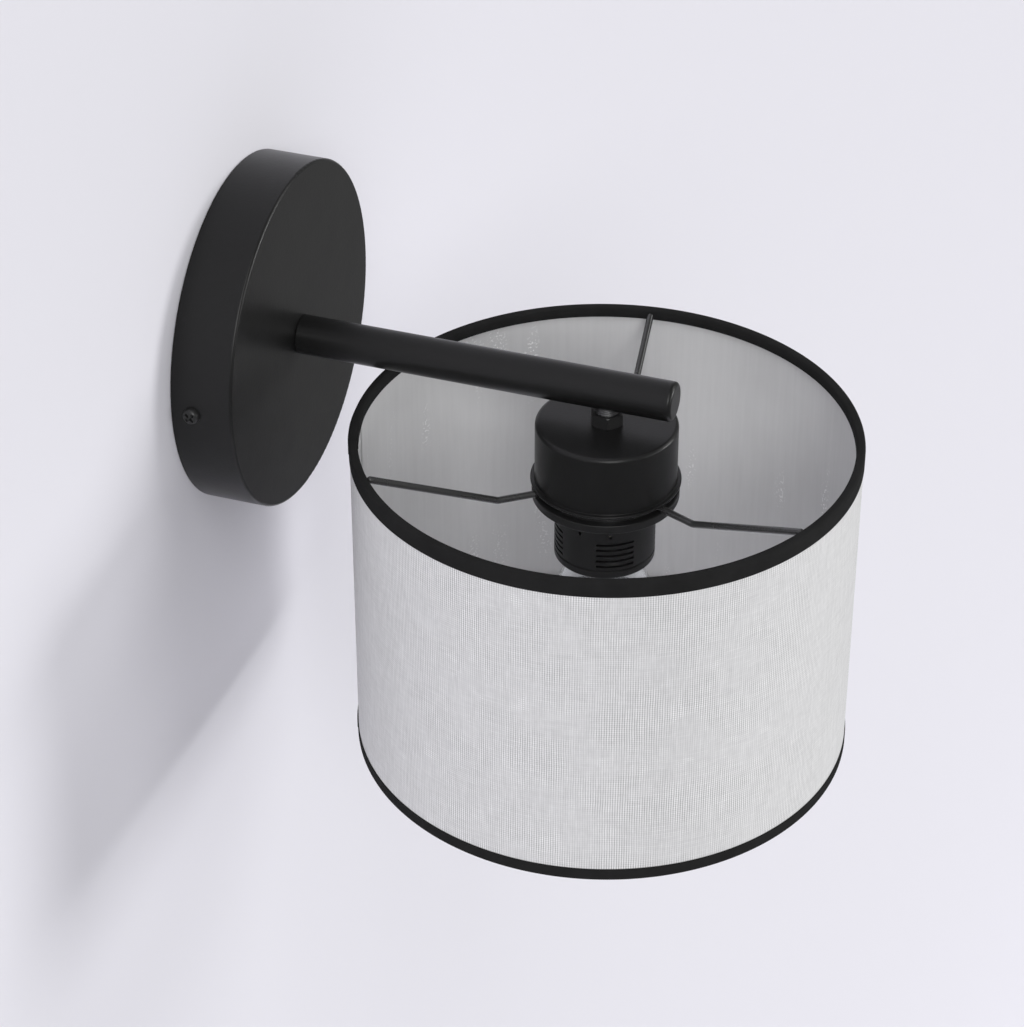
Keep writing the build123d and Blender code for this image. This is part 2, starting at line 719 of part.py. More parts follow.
def make_filament_support():
    """Centre wire from the stem with a star of short wires to the filaments' ends."""
    end_tilt = FILAMENT_R * (FILAMENT_LOW_FROM_AXIS - FILAMENT_TOP_FROM_AXIS) / FILAMENT_LENGTH
    clear = SUPPORT_R + end_tilt
    star_z = filament_top - FILAMENT_LENGTH - clear
    support = rod_between((0, SHADE_Y, stem_end), (0, SHADE_Y, star_z), SUPPORT_R)
    for top, low in filament_ends():
        support += rod_between((0, SHADE_Y, star_z), (low[0], low[1], star_z), SUPPORT_R)
        support += rod_between((0, SHADE_Y, stem_end - STEM_R), (top[0], top[1], top[2] + clear), SUPPORT_R)
    return support


# ---------------------------------------------------------------- the nodes
frame_ring_inset = TRIM_T + FRAME_RING_R
nodes = {
    "backplate": make_backplate(),
    "wall_bracket": make_wall_bracket(),
    "rim_screws": make_rim_screws(),
    "earth_screw": make_earth_screw(),
    "earth_washer": make_earth_washer(),
    "terminal_block": make_terminal_block(),
    "terminal_barrels": make_terminal_barrels(),
    "terminal_screws": make_terminal_screws(),
    "block_screws": make_block_screws(),
    "arm_tube": make_arm_tube(),
    "arm_bush": make_arm_bush(),
    "arm_stud": make_arm_stud(),
    "arm_washer": make_arm_washer(),
    "arm_nut": make_arm_nut(),
    "arm_saddle": make_arm_saddle(),
    "drop_nipple": make_drop_nipple(),
    "cup_locknut": make_cup_locknut(),
    "cup_cover": make_cup_cover(),
    "holder_washer": make_holder_washer(),
    "holder_cap": make_holder_cap(),
    "holder_skirt": make_holder_skirt(),
    "holder_insulator": make_holder_insulator(),
    "lamp_shell": make_lamp_shell(),
    "center_contact": make_center_contact(),
    "holder_terminals": make_holder_terminals(),
    "holder_terminal_screws": make_holder_terminal_screws(),
    "shade_ring": make_shade_ring(),
    "spider": make_spider(),
    "frame_ring_top": make_frame_ring(SHADE_TOP - frame_ring_inset),
    "frame_ring_bottom": make_frame_ring(shade_bottom + frame_ring_inset),
    "shade_fabric": make_fabric(),
    "shade_liner": make_liner(),
    "trim_top": make_trim(SHADE_TOP, -1, TRIM_TOP_HEIGHT),
    "trim_bottom": make_trim(shade_bottom, 1, TRIM_BOTTOM_HEIGHT),
    "bulb_tip": make_bulb_tip(),
    "bulb_insulator": make_bulb_insulator(),
    "bulb_cap": make_bulb_cap(),
    "bulb_glass": make_bulb_glass(),
    "bulb_stem": make_bulb_stem(),
    "filament_support": make_filament_support(),
    "filaments": make_filaments(),
}

for name, shape in nodes.items():
    solids = shape if isinstance(shape, list) else [shape]
    node = Compound(children=solids) if len(solids) > 1 else solids[0]
    node.label = name
    export_step(node, f"parts/{name}.step")
    print(name, len(node.solids()), round(node.volume, 1))
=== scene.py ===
import json
import math

import bmesh
import bpy
from mathutils import Matrix, Vector


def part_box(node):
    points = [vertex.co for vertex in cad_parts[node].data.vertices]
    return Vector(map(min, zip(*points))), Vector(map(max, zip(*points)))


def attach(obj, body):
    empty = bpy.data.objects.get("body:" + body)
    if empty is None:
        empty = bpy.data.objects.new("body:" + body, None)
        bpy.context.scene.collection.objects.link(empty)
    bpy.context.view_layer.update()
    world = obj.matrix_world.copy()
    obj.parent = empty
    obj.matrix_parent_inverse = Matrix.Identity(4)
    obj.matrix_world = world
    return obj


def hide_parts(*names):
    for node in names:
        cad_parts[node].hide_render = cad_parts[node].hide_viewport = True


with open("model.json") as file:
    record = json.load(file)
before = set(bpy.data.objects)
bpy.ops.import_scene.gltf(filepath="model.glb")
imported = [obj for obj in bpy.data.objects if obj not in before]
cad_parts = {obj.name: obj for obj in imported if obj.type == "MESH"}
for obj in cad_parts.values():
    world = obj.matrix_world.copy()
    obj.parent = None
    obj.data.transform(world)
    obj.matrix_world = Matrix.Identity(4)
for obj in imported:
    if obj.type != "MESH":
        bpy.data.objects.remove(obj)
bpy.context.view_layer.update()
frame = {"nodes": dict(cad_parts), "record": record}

# Fabric shade wall light: looks of every piece. Metres, in the model's own frame:
# the wall is y = 0, the arm runs out along -y, z is up.

MM = 0.001

# ---------------------------------------------------------------- sizes from the frame
rim_low, rim_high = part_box("trim_top")
SHADE_CENTER = ((rim_low[0] + rim_high[0]) / 2, (rim_low[1] + rim_high[1]) / 2)
SHADE_R = (rim_high[0] - rim_low[0]) / 2
SHADE_TOP = rim_high[2]
SHADE_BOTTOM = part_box("trim_bottom")[0][2]
TRIM_TOP_HEIGHT = rim_high[2] - rim_low[2]
TRIM_BOTTOM_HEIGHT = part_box("trim_bottom")[1][2] - SHADE_BOTTOM
LINER_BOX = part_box("shade_liner")

# ---------------------------------------------------------------- sizes of the soft pieces
# The seams are angles round the shade's axis, in degrees.
FABRIC_PROUD = 0.3 * MM
FABRIC_T = 0.2 * MM
FILM_T = 0.25 * MM
FILM_INSET = 0.1 * MM
FILM_R = (LINER_BOX[1][0] - LINER_BOX[0][0]) / 2 - FILM_INSET
RIBBON_T = 0.25 * MM
RIBBON_PROUD = 0.65 * MM
RIM_DEPTH = 2.9 * MM
RIM_INNER_R = SHADE_R - RIM_DEPTH
RIM_ROUND = 1.1 * MM
ROUND_STEPS = 6
TRIM_INNER_HEIGHT = 4.5 * MM
SEAM_LAP = 12 * MM
FABRIC_SEAM = 96.0
FILM_SEAM = FABRIC_SEAM - 6
RIBBON_SEAM = FABRIC_SEAM + 9
WEAVE_PITCH = 0.95 * MM

# ---------------------------------------------------------------- camera
CAMERA_AT = (-0.99330, -0.46157, 0.64611)
CAMERA_HEADING = -70.683
CAMERA_TILT = -34.098
FOCAL_LENGTH = 111.02
SENSOR = 36.0
FAR_CLIP = 20.0


def make_camera():
    """Camera at the photograph's viewing angle, with no shift."""
    data = bpy.data.cameras.new("camera")
    data.lens = FOCAL_LENGTH
    data.sensor_width = SENSOR
    data.clip_end = FAR_CLIP
    camera = bpy.data.objects.new("camera", data)
    camera.location = CAMERA_AT
    camera.rotation_euler = (math.radians(90 + CAMERA_TILT), 0, math.radians(CAMERA_HEADING))
    bpy.context.collection.objects.link(camera)
    bpy.context.scene.camera = camera


# ---------------------------------------------------------------- node helpers
NOISE_LOW = 0.3
NOISE_HIGH = 0.7
OCTAVE_SHARE = 0.55


class Nodes:
    """Short words for building one material's node tree."""

    def __init__(self, name):
        self.material = bpy.data.materials.new(name)
        self.material.use_nodes = True
        self.tree = self.material.node_tree
        self.shader = self.tree.nodes["Principled BSDF"]
        self.out = self.tree.nodes["Material Output"]

    def fix(self, name, value):
        """Sets one of the shader's own sockets."""
        self.shader.inputs[name].default_value = value

    def paint(self, color):
        """Links the shader's colour."""
        self.link(color, self.shader.inputs["Base Color"])

    def rough(self, noise, low, high):
        """Roughness that follows a noise from low to high."""
        value = self.span(noise, low, high, NOISE_LOW, NOISE_HIGH)
        self.link(value, self.shader.inputs["Roughness"])

    def add(self, kind, **settings):
        """New node of a kind, with its settings."""
        node = self.tree.nodes.new(kind)
        for name, value in settings.items():
            setattr(node, name, value)
        return node

    def link(self, source, target):
        """Links an output to a socket."""
        self.tree.links.new(source, target)

    def put(self, target, value):
        """A number goes on the socket, an output is linked to it."""
        if hasattr(value, "links"):
            self.link(value, target)
        else:
            target.default_value = value

    def math(self, operation, *values):
        """Output of a maths node; each value is a number or another output."""
        node = self.add("ShaderNodeMath", operation=operation)
        for socket, value in zip(node.inputs, values):
            self.put(socket, value)
        return node.outputs[0]

    def place(self, scale=(1, 1, 1)):
        """Object coordinates, stretched by scale."""
        coordinates = self.add("ShaderNodeTexCoord")
        mapping = self.add("ShaderNodeMapping")
        mapping.inputs["Scale"].default_value = scale
        self.link(coordinates.outputs["Object"], mapping.inputs["Vector"])
        return mapping.outputs[0]

    def noise(self, vector, scale, detail):
        """Noise with scale features to a unit of the vector, and detail finer octaves."""
        node = self.add("ShaderNodeTexNoise")
        node.inputs["Scale"].default_value = scale
        node.inputs["Detail"].default_value = detail
        node.inputs["Roughness"].default_value = OCTAVE_SHARE
        self.link(vector, node.inputs["Vector"])
        return node.outputs["Fac"]

    def span(self, value, low, high, from_low=0.0, from_high=1.0):
        """Maps a value to the range from low to high."""
        node = self.add("ShaderNodeMapRange")
        node.clamp = True
        ends = {"From Min": from_low, "From Max": from_high, "To Min": low, "To Max": high}
        for name, number in ends.items():
            node.inputs[name].default_value = number
        self.put(node.inputs["Value"], value)
        return node.outputs["Result"]

    def ramp(self, value, start, full):
        """Goes from 0 at start to 1 at full."""
        return self.span(value, 0.0, 1.0, start, full)

    def mean(self, first, second, share):
        """Mean of two values, in which the first has the given share."""
        rest = self.math("MULTIPLY", second, 1 - share)
        return self.math("ADD", self.math("MULTIPLY", first, share), rest)

    def blend(self, factor, first, second):
        """Mixes two colours."""
        node = self.add("ShaderNodeMix", data_type="RGBA")
        self.put(node.inputs["Factor"], factor)
        for name, value in (("A", first), ("B", second)):
            socket = [item for item in node.inputs if item.name == name and item.type == "RGBA"][0]
            self.put(socket, value)
        return [item for item in node.outputs if item.type == "RGBA"][0]

    def bump(self, height, distance, strength):
        """Fine relief in the shading, on top of the mesh's own shape."""
        node = self.add("ShaderNodeBump")
        node.inputs["Strength"].default_value = strength
        node.inputs["Distance"].default_value = distance
        self.link(height, node.inputs["Height"])
        self.link(node.outputs[0], self.shader.inputs["Normal"])


def grey(value):
    """Opaque grey."""
    return (value, value, value, 1.0)


def shaded(color, share=1.0):
    """Opaque colour, with its light cut to a share."""
    return tuple(channel * share for channel in color) + (1.0,)


# ---------------------------------------------------------------- meshes
STRIP_COLUMNS = 720
THREAD_SIDES = 72
FLANK_ANGLE = 50
EDGE_ANGLE = 35


def grid_mesh(name, rows, uvs, closed=False):
    """Smooth mesh from equal rows of points, with a UV in metres for every point."""
    across = len(rows[0])
    columns = across if closed else across - 1
    faces = []
    corners = []
    for i in range(len(rows) - 1):
        this, following = i * across, (i + 1) * across
        for j in range(columns):
            k = (j + 1) % across
            faces.append((this + j, this + k, following + k, following + j))
            corners.append(((i, j), (i, j + 1), (i + 1, j + 1), (i + 1, j)))
    mesh = bpy.data.meshes.new(name)
    mesh.from_pydata([point for row in rows for point in row], [], faces)
    layer = mesh.uv_layers.new(name="metres")
    for face, quad in zip(mesh.polygons, corners):
        face.use_smooth = True
        for loop, (i, j) in zip(face.loop_indices, quad):
            layer.data[loop].uv = uvs(i, j)
    return mesh


def lengths_along(profile):
    """Running length at each point of a profile."""
    runs = [0.0]
    for first, second in zip(profile, profile[1:]):
        runs.append(runs[-1] + math.dist(first, second))
    return runs


def outward(profile, index):
    """Unit normal of a profile at a point, to the right of its direction."""
    first = profile[max(index - 1, 0)]
    second = profile[min(index + 1, len(profile) - 1)]
    run = math.dist(first, second)
    return ((second[1] - first[1]) / run, -(second[0] - first[0]) / run)


def wrapped_strip(name, profile, start, lift):
    """Strip of a (radius, z) profile wound once round the shade, its end lapped over its start."""
    radius = max(point[0] for point in profile)
    lap = SEAM_LAP / radius
    sweep = 2 * math.pi + lap
    runs = lengths_along(profile)
    normals = [outward(profile, index) for index in range(len(profile))]
    rows = []
    for column in range(STRIP_COLUMNS + 1):
        turned = sweep * column / STRIP_COLUMNS
        angle = math.radians(start) + turned
        over = turned - (2 * math.pi - lap)
        rise = lift * min(max(over / lap, 0.0), 1.0)
        row = []
        for (r, z), (out_r, out_z) in zip(profile, normals):
            reach = r + rise * out_r
            row.append((
                SHADE_CENTER[0] + reach * math.cos(angle),
                SHADE_CENTER[1] + reach * math.sin(angle),
                z + rise * out_z,
            ))
        rows.append(row)
    return grid_mesh(name, rows, lambda i, j: (radius * sweep * i / STRIP_COLUMNS, runs[j]))


def arc_points(center, radius, start, end, steps):
    """Points on an arc from one angle to another, in degrees."""
    angles = [math.radians(start + (end - start) * step / steps) for step in range(steps + 1)]
    return [(center[0] + radius * math.cos(a), center[1] + radius * math.sin(a)) for a in angles]


def turn(count):
    """Equal angles round a circle."""
    return [2 * math.pi * index / count for index in range(count)]


def ring_row(radius, z, around):
    """Row of points on a circle round z."""
    return [(radius * math.cos(a), radius * math.sin(a), z) for a in turn(around)]


def thread_rows(radius, depth, pitch, ends, sharp, around=THREAD_SIDES, per_pitch=10):
    """Rows of a thread along z; sharp for a screw's flanks, else rolled and round."""
    low, high = ends
    steps = int((high - low) / pitch * per_pitch)
    rows = []
    for step in range(steps + 1):
        z = low + (high - low) * step / steps
        fade = min(z - low, high - z, pitch) / pitch
        row = []
        for a in turn(around):
            phase = (z / pitch - a / (2 * math.pi)) % 1.0
            crest = 1 - abs(2 * phase - 1) if sharp else (1 - math.cos(2 * math.pi * phase)) / 2
            r = radius - depth * (1 - crest * fade)
            row.append((r * math.cos(a), r * math.sin(a), z))
        rows.append(row)
    return rows


def turned_rows_mesh(name, rows):
    """Mesh from rows of points round z."""
    around = len(rows[0])
    return grid_mesh(name, rows, lambda i, j: (j / around, i / len(rows)), closed=True)


def crisp(mesh, angle=EDGE_ANGLE):
    """Keeps edges sharper than the angle crisp in the shading."""
    mesh.set_sharp_from_angle(angle=math.radians(angle))
    return mesh


def joined(name, meshes):
    """One mesh from several."""
    whole = bmesh.new()
    for mesh in meshes:
        whole.from_mesh(mesh)
        bpy.data.meshes.remove(mesh)
    result = bpy.data.meshes.new(name)
    whole.to_mesh(result)
    whole.free()
    return result


def add_piece(name, mesh, body, slot_name, replaced):
    """New piece that rides on a body and takes its finish from a material slot."""
    mesh.materials.append(finishes[slot_name])
    piece = bpy.data.objects.new(name, mesh)
    bpy.context.collection.objects.link(piece)
    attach(piece, body)
    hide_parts(*replaced)
    return piece


# ---------------------------------------------------------------- shade
def rim_profile(top, direction, outer_height):
    """Ribbon's profile from outside over the rim to inside; direction is 1 at the top rim."""
    outer = SHADE_R + RIBBON_PROUD
    high = top - direction * RIM_ROUND
    inner_end = TRIM_INNER_HEIGHT + RIBBON_T
    rows = 8
    drops = [outer_height + (RIM_ROUND - outer_height) * row / rows for row in range(1, rows)]
    outside = [(outer - RIBBON_T, outer_height), (outer, outer_height - RIBBON_T)]
    outside += [(outer, drop) for drop in drops]
    inside = [
        (RIM_INNER_R, TRIM_INNER_HEIGHT),
        (RIM_INNER_R + RIBBON_T, inner_end),
        (FILM_R, inner_end),
    ]
    fold = arc_points((outer - RIM_ROUND, 0), RIM_ROUND, 0, 90, ROUND_STEPS)
    fold += arc_points((RIM_INNER_R + RIM_ROUND, 0), RIM_ROUND, 90, 180, ROUND_STEPS)
    profile = [(r, top - direction * drop) for r, drop in outside]
    profile += [(r, high + direction * rise) for r, rise in fold]
    profile += [(r, top - direction * drop) for r, drop in inside]
    return profile if direction > 0 else profile[::-1]


def make_trims():
    """Black ribbon folded over each rim."""
    rims = (
        ("rim_ribbon_top", "trim_top", rim_profile(SHADE_TOP, 1, TRIM_TOP_HEIGHT)),
        ("rim_ribbon_bottom", "trim_bottom", rim_profile(SHADE_BOTTOM, -1, TRIM_BOTTOM_HEIGHT)),
    )
    pieces = []
    for name, node, profile in rims:
        mesh = wrapped_strip(name, profile, RIBBON_SEAM, RIBBON_T)
        pieces.append(add_piece(name, mesh, "shade", "trim_ribbon", [node]))
    return pieces


def make_fabric(trims):
    """Woven linen wound round the drum, with a glued lap on the wall side."""
    radius = SHADE_R + FABRIC_PROUD
    low = SHADE_BOTTOM + RIM_ROUND
    height = SHADE_TOP - SHADE_BOTTOM - 2 * RIM_ROUND
    rows = 48
    profile = [(radius, low + height * row / rows) for row in range(rows + 1)]
    mesh = wrapped_strip("drum_linen", profile, FABRIC_SEAM, FABRIC_T)
    piece = add_piece("drum_linen", mesh, "shade", "linen", ["shade_fabric"])


def make_liner():
    """Smooth film that carries the fabric; its lap is inside."""
    radius = FILM_R
    low, high = LINER_BOX[0][2], LINER_BOX[1][2]
    rows = 24
    profile = [(radius, high + (low - high) * row / rows) for row in range(rows + 1)]
    mesh = wrapped_strip("shade_liner_film", profile, FILM_SEAM, FILM_T)
    piece = add_piece("shade_liner_film", mesh, "shade", "liner_film", ["shade_liner"])


# ---------------------------------------------------------------- screws, nipples, bulb cap
NIPPLE_BORE_R = 3.9 * MM
FINE_PITCH = 1.0 * MM
FINE_DEPTH = 0.5 * MM
CAP_PITCH = 3.629 * MM
CAP_DEPTH = 0.8 * MM
HEAD_R = 3.4 * MM
HEAD_HEIGHT = 2.5 * MM
SHANK_R = 1.95 * MM
SHANK_LENGTH = 9.0 * MM
SHANK_PITCH = 0.7 * MM
SHANK_DEPTH = 0.3 * MM
SHANK_TIP_R = 0.2 * MM
SLOT_HALF = 0.5 * MM
SLOT_REACH = 2.1 * MM
SLOT_DEPTH = 1.7 * MM
SLOT_TAPER = 0.6
SLOT_TURN = 45
HEAD_SQUARENESS = 4.5
HEAD_SIDES = 144
SHANK_SIDES = 36


def on_shade_axis(mesh):
    """Moves a mesh made round z to the shade's own axis."""
    mesh.transform(Matrix.Translation((SHADE_CENTER[0], SHADE_CENTER[1], 0)))
    return mesh


def hollow_thread(name, radius, bore, low, high):
    """Hollow threaded tube along z."""
    bottom = ring_row(bore, low, THREAD_SIDES)
    thread = thread_rows(radius, FINE_DEPTH, FINE_PITCH, (low, high), True)
    rows = [bottom] + thread + [ring_row(bore, high, THREAD_SIDES), bottom]
    return crisp(turned_rows_mesh(name, rows), FLANK_ANGLE)


def make_nipples():
    """Threaded nipple between arm and cup, and the stud behind the backplate."""
    low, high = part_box("drop_nipple")
    drop = hollow_thread("cup_nipple", (high[0] - low[0]) / 2, NIPPLE_BORE_R, low[2], high[2])
    add_piece("cup_nipple", on_shade_axis(drop), "fixture", "zinc_steel", ["drop_nipple"])
    low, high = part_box("arm_stud")
    stud = hollow_thread("arm_root_stud", (high[0] - low[0]) / 2, NIPPLE_BORE_R, low[1], high[1])
    stud.transform(Matrix.Rotation(math.radians(-90), 4, "X"))
    add_piece("arm_root_stud", stud, "fixture", "zinc_steel", ["arm_stud"])


def recess(x, y):
    """Depth of the cross recess at a point of a screw's head."""
    across, along = sorted((abs(x), abs(y)))
    if across > SLOT_HALF or along > SLOT_REACH:
        return 0.0
    return SLOT_DEPTH * (1 - SLOT_TAPER * along / SLOT_REACH)


def screw_head(name):
    """Pan head along z with a cross recess."""
    steps = 44
    rows = []
    for step in range(steps + 1):
        r = HEAD_R * step / steps
        dome = HEAD_HEIGHT * (1 - (r / HEAD_R) ** HEAD_SQUARENESS) ** 0.5
        flat = [(r * math.cos(a), r * math.sin(a)) for a in turn(HEAD_SIDES)]
        rows.append([(x, y, dome - recess(x, y)) for x, y in flat])
    rows.append(ring_row(SHANK_R, 0.0, HEAD_SIDES))
    return crisp(turned_rows_mesh(name, rows))


def make_rim_screws():
    """The two cross-recessed screws in the backplate's rim."""
    low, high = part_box("rim_screws")
    middle = [(first + second) / 2 for first, second in zip(low, high)]
    ends = (-SHANK_LENGTH, 0.0)
    meshes = []
    for side in (-1, 1):
        thread = thread_rows(SHANK_R, SHANK_DEPTH, SHANK_PITCH, ends, True, SHANK_SIDES, 8)
        rows = [ring_row(SHANK_TIP_R, -SHANK_LENGTH, SHANK_SIDES)] + thread
        shank = crisp(turned_rows_mesh("shank", rows), FLANK_ANGLE)
        screw = joined("rim_screw", [screw_head("head"), shank])
        seat = Matrix.Translation((side * (high[0] - HEAD_HEIGHT), middle[1], middle[2]))
        facing = Matrix.Rotation(math.radians(side * 90), 4, "Y")
        turned = Matrix.Rotation(math.radians(SLOT_TURN), 4, "Z")
        screw.transform(seat @ facing @ turned)
        meshes.append(screw)
    pair = joined("rim_screw_pair", meshes)
    add_piece("rim_screw_pair", pair, "fixture", "black_screw", ["rim_screws"])


def make_bulb_cap():
    """Rolled screw cap of the bulb."""
    low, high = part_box("bulb_cap")
    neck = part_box("bulb_insulator")[1]
    radius = (high[0] - low[0]) / 2
    shoulder_r = neck[0]
    cone_end = high[2] - (radius - shoulder_r)
    collar = low[2] + CAP_PITCH
    root = radius - CAP_DEPTH
    shoulder = [ring_row(r, z, THREAD_SIDES) for r, z in ((shoulder_r, high[2]), (root, cone_end))]
    thread = thread_rows(radius, CAP_DEPTH, CAP_PITCH, (collar, cone_end), False)[::-1]
    skirt = [(root, collar), (radius - CAP_DEPTH / 2, low[2])]
    skirt = [ring_row(r, z, THREAD_SIDES) for r, z in skirt]
    cap = turned_rows_mesh("bulb_screw_cap", shoulder + thread + skirt)
    add_piece("bulb_screw_cap", on_shade_axis(cap), "bulb", "nickel", ["bulb_cap"])


# ---------------------------------------------------------------- materials
# Greys and colours are linear. A noise's scale is its number of features to a metre, except in
# thread_tone, where it is the number to a thread.
YARN_DARK = 0.77
YARN_LIGHT = 0.93
# Grey of the painted glints on the weave's raised crossings.
CROSSING_GLINT_GREY = 0.98
# Grey of the painted shade in the gaps between threads.
GAP_SHADE_GREY = 0.36
# Mean of the thread pattern that sets the weave's painted shade.
MEAN_PAINTED_SHADE = 0.64
UNDER_DIP = 0.35
THREAD_WANDER = 0.8
THREAD_EVENNESS = 0.06
WARP_TONE = 0.6
# Share of the upright threads in the weave's painted shade.
WARP_SHARE_OF_PAINTED_SHADE = 0.72
GLASS_IOR = 1.47


def powder_coat(name, dark, light, roughness, gloss):
    """Satin powder coat: a faint orange peel, fine speckle and soft wear in the gloss."""
    nodes = Nodes(name)
    where = nodes.place()
    peel = nodes.noise(where, scale=900, detail=2.0)
    speckle = nodes.noise(where, scale=3500, detail=1.0)
    cloud = nodes.noise(where, scale=25, detail=4.0)
    nodes.fix("Specular IOR Level", gloss)
    nodes.paint(nodes.blend(speckle, grey(dark), grey(light)))
    nodes.rough(cloud, roughness - 0.04, roughness + 0.05)
    nodes.bump(peel, distance=0.06 * MM, strength=0.5)
    return nodes.material


def moulding(name, dark, light, roughness, gloss):
    """Moulded black plastic or glass with a fine grain."""
    nodes = Nodes(name)
    where = nodes.place()
    grain = nodes.noise(where, scale=2200, detail=3.0)
    cloud = nodes.noise(where, scale=60, detail=3.0)
    nodes.fix("Specular IOR Level", gloss)
    nodes.paint(nodes.blend(cloud, grey(dark), grey(light)))
    nodes.rough(grain, roughness - 0.06, roughness + 0.06)
    nodes.bump(grain, distance=0.03 * MM, strength=0.5)
    return nodes.material


def plain_metal(name, color, roughness):
    """Bare metal with fine rolled streaks."""
    nodes = Nodes(name)
    streaks = nodes.noise(nodes.place((1, 1, 12)), scale=700, detail=4.0)
    nodes.fix("Metallic", 1.0)
    nodes.paint(nodes.blend(streaks, shaded(color, 0.82), shaded(color)))
    nodes.rough(streaks, roughness - 0.05, roughness + 0.05)
    nodes.bump(streaks, distance=0.02 * MM, strength=0.3)
    return nodes.material


def thread_arch(nodes, across):
    """Round form of the threads: 0 at a thread's edge and 1 along its middle."""
    return nodes.math("ABSOLUTE", nodes.math("SINE", nodes.math("MULTIPLY", across, math.pi)))


def thread_tone(nodes, across, run, seed):
    """Each thread has its own tone, and it changes slowly along its run."""
    join = nodes.add("ShaderNodeCombineXYZ")
    nodes.link(nodes.math("FLOOR", across), join.inputs[0])
    nodes.link(nodes.math("MULTIPLY", run, THREAD_EVENNESS), join.inputs[1])
    join.inputs[2].default_value = seed
    return nodes.noise(join.outputs[0], scale=1.7, detail=2.0)


def weave_height(nodes, u, v, warp, weft):
    """Height of a plain weave: the thread that passes under dips at each crossing."""
    crossing = nodes.math("ADD", nodes.math("FLOOR", u), nodes.math("FLOOR", v))
    dip = nodes.math("MULTIPLY", nodes.math("MODULO", crossing, 2.0), UNDER_DIP)
    warp_up = nodes.math("MULTIPLY", warp, nodes.math("ADD", dip, 1 - UNDER_DIP))
    weft_up = nodes.math("MULTIPLY", weft, nodes.math("SUBTRACT", 1.0, dip))
    return nodes.math("MAXIMUM", warp_up, weft_up)


def linen():
    """Plain weave in natural white: upright threads lead; painted shade in the gaps and painted glints
    on crossings show in patches.
    """
    nodes = Nodes("linen_weave")
    cloth = nodes.add("ShaderNodeTexCoord").outputs["UV"]
    split = nodes.add("ShaderNodeSeparateXYZ")
    nodes.link(cloth, split.inputs[0])
    sway = nodes.math("SUBTRACT", nodes.noise(cloth, scale=50, detail=3.0), 0.5)
    drift = nodes.math("MULTIPLY", sway, THREAD_WANDER)
    u = nodes.math("ADD", nodes.math("DIVIDE", split.outputs["X"], WEAVE_PITCH), drift)
    v = nodes.math("ADD", nodes.math("DIVIDE", split.outputs["Y"], WEAVE_PITCH), drift)
    warp = thread_arch(nodes, u)
    weft = thread_arch(nodes, v)
    tone = nodes.mean(thread_tone(nodes, u, v, seed=3.1), thread_tone(nodes, v, u, seed=8.7), WARP_TONE)
    yarn = nodes.blend(nodes.ramp(tone, 0.32, 0.68), grey(YARN_DARK), grey(YARN_LIGHT))
    clear = nodes.span(nodes.noise(cloth, scale=45, detail=3.0), 0.3, 1.25, 0.38, 0.62)
    # Painted shade: threads are lighter along their middles and darker at their edges, and the gaps
    # between them take a dark grey, as shade falls in the weave.
    shade = nodes.mean(warp, weft, WARP_SHARE_OF_PAINTED_SHADE)
    relief = nodes.math("MULTIPLY", nodes.math("SUBTRACT", MEAN_PAINTED_SHADE, shade), clear)
    color = nodes.blend(nodes.math("ADD", relief, 1 - MEAN_PAINTED_SHADE), yarn, grey(GAP_SHADE_GREY))
    # Painted glints: where threads cross at their raised middles, scattered patches are lightened to
    # near white.
    crossing = nodes.ramp(nodes.math("MULTIPLY", warp, weft), 0.6, 0.9)
    glint_patches = nodes.ramp(nodes.noise(cloth, scale=80, detail=3.0), 0.60, 0.72)
    nodes.paint(nodes.blend(nodes.math("MULTIPLY", crossing, glint_patches), color, grey(CROSSING_GLINT_GREY)))
    nodes.fix("Roughness", 0.9)
    nodes.fix("Specular IOR Level", 0.2)
    nodes.fix("Sheen Weight", 0.1)
    nodes.fix("Sheen Roughness", 0.6)
    height = weave_height(nodes, u, v, warp, weft)
    nodes.bump(nodes.math("MULTIPLY", height, clear), distance=0.12 * MM, strength=0.6)
    return nodes.material


def liner_film():
    """Smooth pale film on the shade's inside: faint upright streaks and a few pale specks."""
    nodes = Nodes("liner_film")
    where = nodes.place()
    streaks = nodes.noise(nodes.place((1, 1, 0.06)), scale=500, detail=3.0)
    patches = nodes.noise(where, scale=25, detail=4.0)
    tone = nodes.ramp(nodes.mean(streaks, patches, 0.4), NOISE_LOW, NOISE_HIGH)
    film = nodes.blend(tone, grey(0.60), grey(0.67))
    specks = nodes.ramp(nodes.noise(where, scale=1000, detail=0.0), 0.60, 0.70)
    bands = nodes.ramp(nodes.noise(nodes.place((1, 1, 0.25)), scale=70, detail=1.0), 0.62, 0.74)
    nodes.paint(nodes.blend(nodes.math("MULTIPLY", specks, bands), film, grey(0.92)))
    nodes.fix("Roughness", 0.6)
    nodes.bump(streaks, distance=0.01 * MM, strength=0.25)
    return nodes.material


def ribbon():
    """Matt black edging ribbon with a fine fibre grain."""
    nodes = Nodes("trim_ribbon")
    where = nodes.place()
    fibres = nodes.noise(where, scale=2500, detail=2.0)
    cloud = nodes.noise(where, scale=90, detail=3.0)
    nodes.paint(nodes.blend(cloud, grey(0.012), grey(0.022)))
    nodes.fix("Roughness", 0.95)
    nodes.fix("Specular IOR Level", 0.08)
    nodes.bump(fibres, distance=0.08 * MM, strength=0.5)
    return nodes.material


def clear_glass():
    """Thin clear glass with a trace of draw lines."""
    nodes = Nodes("clear_glass")
    lines = nodes.noise(nodes.place((1, 1, 6)), scale=40, detail=2.0)
    nodes.fix("Base Color", (0.97, 0.98, 0.98, 1))
    nodes.fix("Transmission Weight", 1.0)
    nodes.fix("IOR", GLASS_IOR)
    nodes.link(nodes.span(lines, 0.0, 0.03), nodes.shader.inputs["Roughness"])
    return nodes.material


